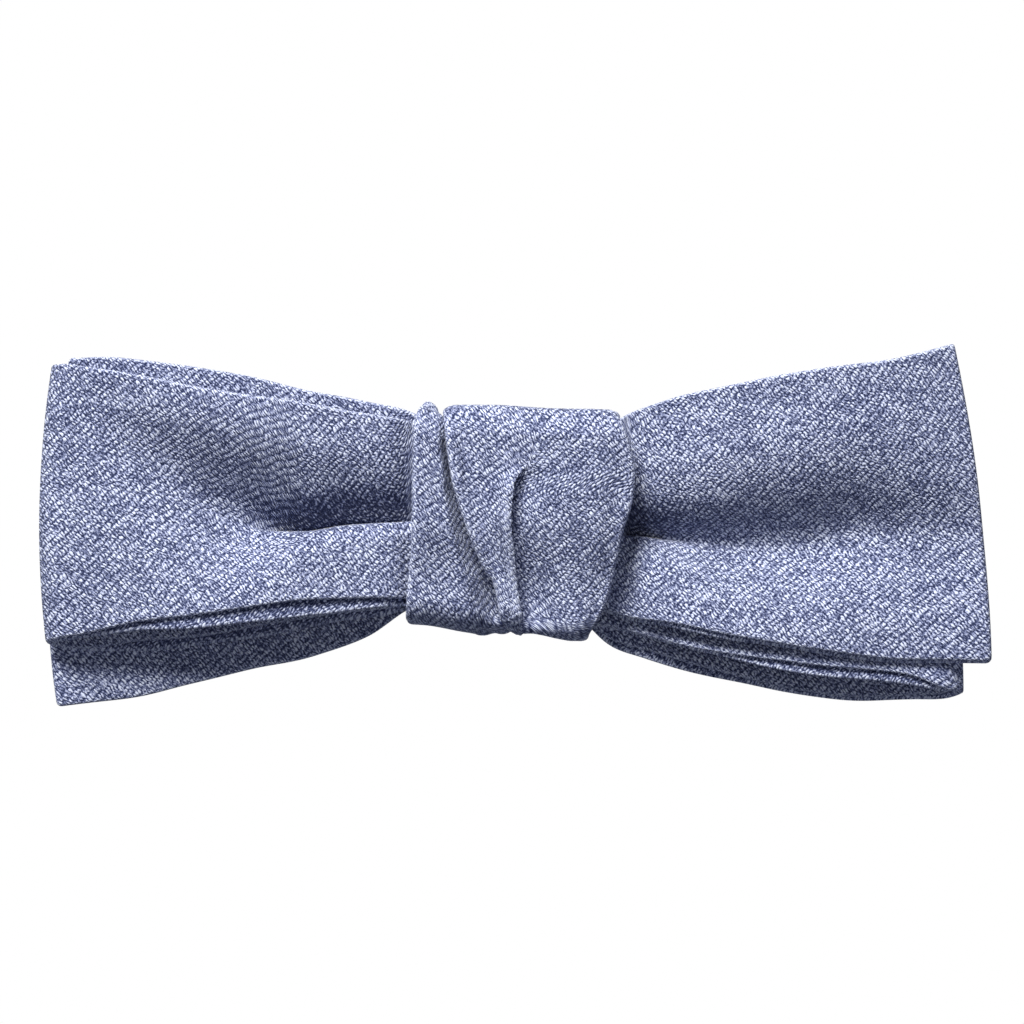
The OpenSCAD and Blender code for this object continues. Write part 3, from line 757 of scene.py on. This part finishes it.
def smooth_path(corners, radius):
    """Points about PATH_STEP apart along straight runs between corners, with the corners rounded."""
    corners = [np.array(c, float) for c in corners]
    path = [corners[0]]
    for before, corner, after in zip(corners, corners[1:], corners[2:]):
        arrive = corner + (before - corner) / np.linalg.norm(before - corner) * radius
        leave = corner + (after - corner) / np.linalg.norm(after - corner) * radius
        for f in np.linspace(0, 1, 9):
            path.append((1 - f) ** 2 * arrive + 2 * f * (1 - f) * corner + f * f * leave)
    path.append(corners[-1])
    dense = [path[0]]
    for a, b in zip(path, path[1:]):
        count = max(1, int(np.linalg.norm(b - a) / PATH_STEP))
        dense += [a + (b - a) * k / count for k in range(1, count + 1)]
    return dense


def staple(x_in, x_out, z, y_bar, y_end):
    """A stitch that shows as a bar from x_in to x_out, with both ends going down to y_end."""
    corners = [(x_in, y_end, z), (x_in, y_bar, z), (x_out, y_bar, z), (x_out, y_end, z)]
    return smooth_path(corners, STITCH_BEND)


WAIST_THREAD_R = 0.25
WAIST_TURNS = 6
WAIST_PITCH = 0.8
WAIST_Z = 0.3
WAIST_HALF_D = 3.45
WAIST_HALF_H = 10.75
WAIST_CORNER = 0.9
WAIST_STEPS = 120


def waist_binding():
    """The thread wound round the four layers under the knot."""
    deep, high = rounded_ring(WAIST_HALF_D, WAIST_HALF_H, WAIST_CORNER, WAIST_STEPS)
    wound = WAIST_TURNS * WAIST_STEPS + 1
    place = np.arange(wound) % WAIST_STEPS
    x = (np.arange(wound) / (wound - 1) - 0.5) * WAIST_TURNS * WAIST_PITCH
    path = np.stack([x, KNOT_Y - deep[place] * WAIST_HALF_D, WAIST_Z + high[place] * WAIST_HALF_H], axis=1)
    return tubes("waist_binding", [path], WAIST_THREAD_R, 10)


TAPE_HALF_W = 12.3
TAPE_HALF_H = 12.2
TAPE_CORNER = 1
TAPE_T = 0.65
TAPE_REAR_Y = -0.8
TAPE_MID_Y = TAPE_REAR_Y - TAPE_T / 2
TAPE_WAVE = (0.05, 13)
# Stitches: x of their two ends, y where they stop inside the cloth or tape, and their rows. The clip's go
# through the base plate's holes, CLIP_HOLE_Z above and below its middle, and over its sides.
KNOT_STITCH_X = (11.8, 12.8)
KNOT_STITCH_END_Y = -1.9
KNOT_STITCH_ROWS = (-6, -3, 0, 3, 6)
CLIP_STITCH_X = (9.6, 11.5)
CLIP_STITCH_END_Y = -1.4
CLIP_STITCH_ROWS = (-0.5, 0, 0.5)
CLIP_HOLE_Z = 8.6


def knot_stitching():
    """Whip stitches over the tape's long sides, into the knot's back."""
    x_in, x_out = KNOT_STITCH_X
    paths = [staple(side * x_in, side * x_out, z, TAPE_REAR_Y + THREAD_R, KNOT_STITCH_END_Y)
             for side in (-1, 1) for z in KNOT_STITCH_ROWS]
    return tubes("knot_stitching", paths, THREAD_R)


def clip_stitching():
    """Stitches through the base plate's four holes and over its sides, into the tape."""
    x_in, x_out = CLIP_STITCH_X
    paths = [staple(side * x_in, side * x_out, up * CLIP_HOLE_Z + row, THREAD_R, CLIP_STITCH_END_Y)
             for side in (-1, 1) for up in (-1, 1) for row in CLIP_STITCH_ROWS]
    return tubes("clip_stitching", paths, THREAD_R)


def tape():
    """The ribbed tape on the knot's back, with rounded corners."""
    corner = TAPE_CORNER * np.sin(np.linspace(0, math.pi / 2, 7))
    half = TAPE_HALF_H - TAPE_CORNER
    z = np.concatenate([-half - corner[::-1], np.linspace(-half, half, 60)[1:-1], half + corner])[:, None]
    past = np.clip(abs(z) - half, 0, TAPE_CORNER)
    half_w = TAPE_HALF_W - TAPE_CORNER + np.sqrt(TAPE_CORNER ** 2 - past ** 2)
    x = half_w * np.linspace(-1, 1, 50)[None, :]
    z = z + 0 * x
    y = TAPE_MID_Y + ripple(x, z, *TAPE_WAVE)
    return shell("ribbed_tape", np.stack([x, y, z], axis=-1), TAPE_T, False)


# The coil goes round the pin. Both legs reach up to LEG_Z, one at the base plate and one at the lever.
COIL_R = 1.45
COIL_TURNS = 4.5
COIL_HALF_LENGTH = 1.62
COIL_STEPS = 150
PIN_Y = 3.4
PIN_Z = 2.5
WIRE_R = 0.3
LEG_Z = 9.0
BASE_LEG_Y = 0.35
LEVER_LEG_Y = 5.75


def spring():
    """The torsion spring: one leg lies on the base plate, the coil is round the pin, and one leg lifts
    the lever."""
    coil = []
    for k in range(COIL_STEPS + 1):
        angle = math.pi - 2 * math.pi * COIL_TURNS * k / COIL_STEPS
        x = COIL_HALF_LENGTH * (1 - 2 * k / COIL_STEPS)
        coil.append((x, PIN_Y + COIL_R * math.cos(angle), PIN_Z + COIL_R * math.sin(angle)))

    def leg(tip, joint):
        tip, joint = np.array(tip), np.array(joint)
        return [tip + (joint - tip) * f for f in np.linspace(0, 1, 40)[:-1]]

    base_leg = leg((COIL_HALF_LENGTH, BASE_LEG_Y, LEG_Z), coil[0])
    lever_leg = leg((-COIL_HALF_LENGTH, LEVER_LEG_Y, LEG_Z), coil[-1])
    return tubes("spring_wire", [base_leg + coil + lever_leg[::-1]], WIRE_R, 14)


# -------- materials

class Shader:
    """A node material built by short calls."""

    def __init__(self, name):
        self.material = bpy.data.materials.new(name)
        self.material.use_nodes = True
        self.nodes = self.material.node_tree.nodes
        self.links = self.material.node_tree.links
        self.surface = self.nodes["Principled BSDF"]

    def set(self, socket, value):
        if isinstance(value, bpy.types.NodeSocket):
            self.links.new(value, socket)
        else:
            socket.default_value = value

    def give(self, name, value):
        """Sets one of the surface's own inputs."""
        self.set(self.surface.inputs[name], value)

    def node(self, kind, *values, **options):
        """A new node with its options and its first inputs set."""
        node = self.nodes.new("ShaderNode" + kind)
        for option, choice in options.items():
            setattr(node, option, choice)
        for socket, value in zip(node.inputs, values):
            self.set(socket, value)
        return node

    def math(self, operation, *values):
        return self.node("Math", *values, operation=operation).outputs[0]

    def uv(self):
        weave = self.node("UVMap", uv_map="weave").outputs[0]
        return self.node("SeparateXYZ", weave).outputs[:2]

    def vector(self, x, y):
        return self.node("CombineXYZ", x, y).outputs[0]

    def noise(self, vector, scale, detail=2.0, rough=0.5):
        node = self.node("TexNoise", vector)
        for name, value in (("Scale", scale), ("Detail", detail), ("Roughness", rough)):
            node.inputs[name].default_value = value
        return node.outputs[0]

    def chance(self, vector):
        """A number from 0 to 1 that is fixed for each whole-number cell."""
        return self.node("TexWhiteNoise", vector, noise_dimensions="2D").outputs["Value"]

    def attribute(self, name):
        return self.node("Attribute", attribute_name=name).outputs["Fac"]

    def place(self):
        return self.node("TexCoord").outputs["Object"]

    def wave(self, value):
        """0 to 1, once for each whole number of value."""
        cosine = self.math("COSINE", self.math("MULTIPLY", value, 2 * math.pi))
        return self.math("MULTIPLY_ADD", cosine, 0.5, 0.5)

    def colours(self, value, stops):
        """Colours that change smoothly from stop to stop, as (tone, colour)."""
        node = self.node("ValToRGB", value)
        while len(node.color_ramp.elements) < len(stops):
            node.color_ramp.elements.new(0.5)
        for element, (place, colour) in zip(node.color_ramp.elements, stops):
            element.position = place
            element.color = (*colour, 1)
        return node.outputs[0]

    def bump(self, height, distance, strength=1.0):
        """Raises the surface by up to distance, in metres, where height is large."""
        node = self.node("Bump")
        self.set(node.inputs["Height"], height)
        node.inputs["Distance"].default_value = distance
        node.inputs["Strength"].default_value = strength
        self.give("Normal", node.outputs[0])


# The twill, in mm: from wale to wale, from float to float along a wale, and the size of fibres and of slow
# slubs. DRIFT and FINE say how far the yarns wander, slowly and finely, in wales and floats.
WALE = 0.76
BEAD = 0.4
FIBRE = (0.36, 0.2)
SLUB = (9, 2.4)
DRIFT_WALES = 1.6
DRIFT_FLOATS = 2.4
FINE_WALES = 0.8
FINE_FLOATS = 1.3
# How each float, fibre and slub changes the tone, and then the contrast of it all: (times, plus).
FLOAT_TONE = (0.42, 0.2)
FIBRE_TONE = (1.9, -0.68)
SLUB_TONE = (0.24, -0.12)
CONTRAST = (1.85, -0.38)
# How far the edge attribute moves the tone: painted highlights on lips and crests, painted shade in grooves
# and creases.
PAINTED_LIGHT_TONE = 0.28


def twill(name, stops):
    """Heathered twill: slanting wales of short oval floats, each float with its own shade of blue."""
    s = Shader(name)
    u, v = s.uv()
    root2 = math.sqrt(2)
    across = s.math("DIVIDE", s.math("ADD", u, v), root2)
    along = s.math("DIVIDE", s.math("SUBTRACT", v, u), root2)
    # slow wander of the yarns keeps the rows from being ruled lines
    drift = s.math("SUBTRACT", s.noise(s.vector(u, v), 0.3, 1), 0.5)
    fine = s.math("SUBTRACT", s.noise(s.vector(across, along), 1.6, 2), 0.5)
    p = s.math("MULTIPLY_ADD", drift, DRIFT_WALES, s.math("DIVIDE", across, WALE))
    p = s.math("ADD", p, s.math("MULTIPLY", fine, FINE_WALES))
    q = s.math("MULTIPLY_ADD", drift, DRIFT_FLOATS, s.math("DIVIDE", along, BEAD))
    q = s.math("ADD", q, s.math("MULTIPLY", fine, FINE_FLOATS))
    wale_number = s.math("ROUND", p)
    q = s.math("MULTIPLY_ADD", wale_number, 0.5, q)
    float_number = s.math("ROUND", q)
    chance = s.chance(s.vector(wale_number, float_number))
    height = s.math("POWER", s.math("MULTIPLY", s.wave(p), s.wave(q)), 0.4)
    fibre_place = s.vector(s.math("DIVIDE", across, FIBRE[0]), s.math("DIVIDE", along, FIBRE[1]))
    fibre = s.noise(fibre_place, 1.0, 2, 0.6)
    slub = s.noise(s.vector(s.math("DIVIDE", u, SLUB[0]), s.math("DIVIDE", v, SLUB[1])), 1.0, 3, 0.6)
    tone = s.math("MULTIPLY", height, s.math("MULTIPLY_ADD", chance, *FLOAT_TONE))
    tone = s.math("ADD", tone, s.math("MULTIPLY_ADD", fibre, *FIBRE_TONE))
    tone = s.math("ADD", tone, s.math("MULTIPLY_ADD", slub, *SLUB_TONE))
    tone = s.math("MULTIPLY_ADD", tone, *CONTRAST)
    # painted highlights and painted shade from the edge attribute
    tone = s.math("MULTIPLY_ADD", s.attribute("edge"), PAINTED_LIGHT_TONE, tone)
    s.give("Base Color", s.colours(tone, stops))
    s.give("Roughness", s.math("MULTIPLY_ADD", height, -0.12, 0.9))
    s.give("Specular IOR Level", 0.25)
    s.give("Sheen Weight", 0.15)
    s.give("Sheen Roughness", 0.5)
    s.give("Sheen Tint", (0.85, 0.9, 1, 1))
    s.bump(s.math("MULTIPLY_ADD", fibre, 0.6, height), 0.00014, 0.8)
    return s.material


BLUE = [
    (0.0, (0.016, 0.024, 0.078)),
    (0.25, (0.076, 0.093, 0.188)),
    (0.5, (0.212, 0.241, 0.392)),
    (0.75, (0.435, 0.475, 0.685)),
    (1.0, (0.805, 0.855, 1.000)),
]


def thread_look(name, colour):
    """Twisted sewing thread."""
    s = Shader(name)
    u, v = s.uv()
    twist = s.wave(s.math("ADD", s.math("DIVIDE", u, 0.5), s.math("MULTIPLY", v, 2)))
    fibre = s.noise(s.place(), 9000, 2)
    tone = s.math("MULTIPLY_ADD", twist, 0.6, s.math("MULTIPLY", fibre, 0.4))
    dark = tuple(c * 0.45 for c in colour)
    s.give("Base Color", s.colours(tone, [(0.0, dark), (1.0, colour)]))
    s.give("Roughness", 0.6)
    s.give("Sheen Weight", 0.3)
    s.bump(tone, 0.00008)
    return s.material


def ribbed_tape_look():
    """Woven tape with fine ribs across it."""
    s = Shader("tape_ribbed")
    u, v = s.uv()
    rib = s.wave(s.math("DIVIDE", v, 0.7))
    pick = s.wave(s.math("DIVIDE", u, 0.3))
    fibre = s.noise(s.place(), 5000, 3)
    tone = s.math("MULTIPLY_ADD", pick, 0.2, s.math("MULTIPLY", fibre, 0.3))
    tone = s.math("MULTIPLY_ADD", rib, 0.5, tone)
    stops = [(0.0, (0.008, 0.010, 0.025)), (1.0, (0.075, 0.095, 0.19))]
    s.give("Base Color", s.colours(tone, stops))
    s.give("Roughness", 0.75)
    s.give("Sheen Weight", 0.2)
    s.bump(tone, 0.00012)
    return s.material


def canvas_look():
    """Open woven interlining canvas."""
    s = Shader("canvas")
    u, v = s.uv()
    warp, weft = (s.wave(s.math("DIVIDE", way, 0.6)) for way in (u, v))
    grid = s.math("MULTIPLY_ADD", warp, 0.5, s.math("MULTIPLY", weft, 0.5))
    fibre = s.noise(s.place(), 3000, 3)
    tone = s.math("MULTIPLY_ADD", grid, 0.6, s.math("MULTIPLY", fibre, 0.4))
    stops = [(0.0, (0.42, 0.38, 0.3)), (1.0, (0.86, 0.83, 0.74))]
    s.give("Base Color", s.colours(tone, stops))
    s.give("Roughness", 0.9)
    s.bump(tone, 0.00015)
    return s.material


def plated_steel_look(name, colour, rough, scratch):
    """Nickel-plated steel with fine rubbed scratches and duller patches."""
    s = Shader(name)
    place = s.place()
    stretched = s.node("VectorMath", place, (1, 1, 14), operation="MULTIPLY").outputs[0]
    lines = s.noise(stretched, 900, 3)
    patch = s.noise(place, 260, 3)
    s.give("Metallic", 1.0)
    dull = tuple(c * 0.82 for c in colour)
    s.give("Base Color", s.colours(patch, [(0.3, dull), (0.75, colour)]))
    worn = s.math("MULTIPLY_ADD", patch, 0.16, s.math("MULTIPLY", lines, scratch))
    s.give("Roughness", s.math("ADD", worn, rough))
    s.bump(lines, 0.000012, 0.6)
    return s.material


def vinyl_look():
    """Soft white vinyl, faintly grained."""
    s = Shader("vinyl")
    grain = s.noise(s.place(), 2600, 3)
    stops = [(0.3, (0.66, 0.66, 0.63)), (0.7, (0.82, 0.82, 0.8))]
    s.give("Base Color", s.colours(grain, stops))
    s.give("Roughness", 0.45)
    s.bump(grain, 0.00002)
    return s.material


# -------- build

SHARP_ANGLE = 35
WELD = 0.001
THREAD_BLUE = (0.10, 0.13, 0.26)
SPRING_STEEL = (0.5, 0.5, 0.52)
CLIP_NICKEL = (0.78, 0.77, 0.74)
PIN_NICKEL = (0.68, 0.67, 0.65)


def dress(node, material, edge):
    """Gives a CAD node its material, and softens its edges by edge, in mm."""
    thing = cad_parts[node]
    thing.data.materials.clear()
    thing.data.materials.append(material)
    weld = thing.modifiers.new("joined_faces", "WELD")
    weld.merge_threshold = WELD * MM
    bevel = thing.modifiers.new("soft_edges", "BEVEL")
    bevel.width = edge * MM
    bevel.segments = 3
    bevel.limit_method = "ANGLE"
    bevel.angle_limit = math.radians(SHARP_ANGLE)
    rounded = thing.modifiers.new("even_shading", "WEIGHTED_NORMAL")
    rounded.keep_sharp = False
    for face in thing.data.polygons:
        face.use_smooth = True


cloth = twill("blue_twill", BLUE)

section = tube_section()
front_strip = strip("front_strip_cloth", FRONT_STATIONS, section)
rear_strip = strip("rear_strip_cloth", REAR_STATIONS, section, flare=FLARE)
finish_piece(front_strip, cloth, "front_strip")
finish_piece(rear_strip, cloth, "rear_strip")
outer_turn = finish_piece(knot_outer(), cloth, "knot_outer_turn")
inner_turn = finish_piece(knot_inner(), cloth, "knot_inner_turn")
for piece in (front_strip, rear_strip, outer_turn, inner_turn):
    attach(piece, "root")

canvas = canvas_look()
# the canvas is thin, narrower than its strip, and three rows short of the strip's outer end
core = sheet_section(thickness=0.4, margin=0.09)
for part, stations, flare in (("front", FRONT_STATIONS, NO_FLARE), ("rear", REAR_STATIONS, FLARE)):
    piece = strip(part + "_canvas", stations, core, step=0.7, start=3, flare=flare)
    finish_piece(piece, canvas, part + "_interlining")
    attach(piece, "root")

blue_thread = thread_look("blue_thread", THREAD_BLUE)
binding = finish_piece(waist_binding(), blue_thread, "waist_thread")
knot_stitches = finish_piece(knot_stitching(), blue_thread, "knot_stitches")
clip_stitches = finish_piece(clip_stitching(), blue_thread, "clip_stitches")
back_tape = finish_piece(tape(), ribbed_tape_look(), "clip_tape")
for piece in (binding, knot_stitches, clip_stitches, back_tape):
    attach(piece, "root")

spring_steel = plated_steel_look("spring_steel", SPRING_STEEL, 0.2, 0.1)
spring_wire = finish_piece(spring(), spring_steel, "clip_spring")
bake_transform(spring_wire)

clip_steel = plated_steel_look("clip_plate", CLIP_NICKEL, 0.16, 0.12)
dress("clip_base", clip_steel, 0.12)
dress("clip_lever", clip_steel, 0.12)
dress("clip_pin", plated_steel_look("pin_plate", PIN_NICKEL, 0.14, 0.08), 0.08)
dress("clip_jaw_pad", vinyl_look(), 0.06)

# -------- studio

# The view, in mm: it is this wide at FOCUS_Y, the bow's front, and centred on this x and z.
VIEW_WIDTH = 129.0
VIEW_CENTRE = (-1.0, 1.64)
FOCUS_Y = -11.0
LENS = 200.0
SENSOR = 36.0
# The floor and the lamps are in metres: (name, place, watts, size). The room's own light is a little bluer.
FLOOR_Z = -0.16
FLOOR_RADIUS = 1.0
LAMPS = [
    ("key", (-0.23, -0.58, 0.72), 14.5, 0.4),
    ("fill", (0.12, -0.95, -0.35), 2.1, 0.8),
    ("back", (0.25, 0.85, 0.5), 6.0, 0.6),
]
ROOM_LIGHT = 0.1
ROOM_COLOUR = (0.78, 0.87, 1.2, 1)


def lay_floor():
    """A plain pale floor, below the bow."""
    bpy.ops.mesh.primitive_circle_add(vertices=96, radius=FLOOR_RADIUS, fill_type="NGON",
                                      location=(0, 0, FLOOR_Z))
    floor = bpy.context.object
    floor.name = "floor"
    # the floor throws no light back up, so that the shadows under the folds stay deep
    floor.visible_diffuse = False
    s = Shader("pale_floor")
    s.give("Base Color", (0.95, 0.95, 0.95, 1))
    s.give("Roughness", 1.0)
    floor.data.materials.append(s.material)


def light_room(scene):
    """A plain white backdrop. The room lights the cloth only softly."""
    world = bpy.data.worlds.new("studio")
    scene.world = world
    world.use_nodes = True
    nodes, links = world.node_tree.nodes, world.node_tree.links
    sky = nodes["Background"]
    sky.inputs[0].default_value = (1, 1, 1, 1)
    sky.inputs[1].default_value = 1.0
    room = nodes.new("ShaderNodeBackground")
    room.inputs[0].default_value = ROOM_COLOUR
    room.inputs[1].default_value = ROOM_LIGHT
    either = nodes.new("ShaderNodeMixShader")
    links.new(nodes.new("ShaderNodeLightPath").outputs["Is Camera Ray"], either.inputs[0])
    links.new(room.outputs[0], either.inputs[1])
    links.new(sky.outputs[0], either.inputs[2])
    links.new(either.outputs[0], nodes["World Output"].inputs[0])


def hang_lamp(scene, name, place, power, size):
    """A square soft lamp that points at the origin."""
    data = bpy.data.lights.new(name, "AREA")
    data.energy = power
    data.size = size
    lamp = bpy.data.objects.new(name, data)
    lamp.location = place
    lamp.rotation_mode = "QUATERNION"
    lamp.rotation_quaternion = Vector(place).to_track_quat("Z", "Y")
    scene.collection.objects.link(lamp)


def set_camera(scene):
    """A camera square on to the front of the bow."""
    camera = bpy.data.cameras.new("camera")
    camera.lens = LENS
    camera.sensor_width = SENSOR
    eye = bpy.data.objects.new("camera", camera)
    distance = VIEW_WIDTH * LENS / SENSOR
    eye.location = (VIEW_CENTRE[0] * MM, (FOCUS_Y - distance) * MM, VIEW_CENTRE[1] * MM)
    eye.rotation_euler = (math.pi / 2, 0, 0)
    scene.collection.objects.link(eye)
    scene.camera = eye


scene = bpy.context.scene
scene.view_settings.view_transform = "Standard"
lay_floor()
light_room(scene)
for lamp in LAMPS:
    hang_lamp(scene, *lamp)
set_camera(scene)
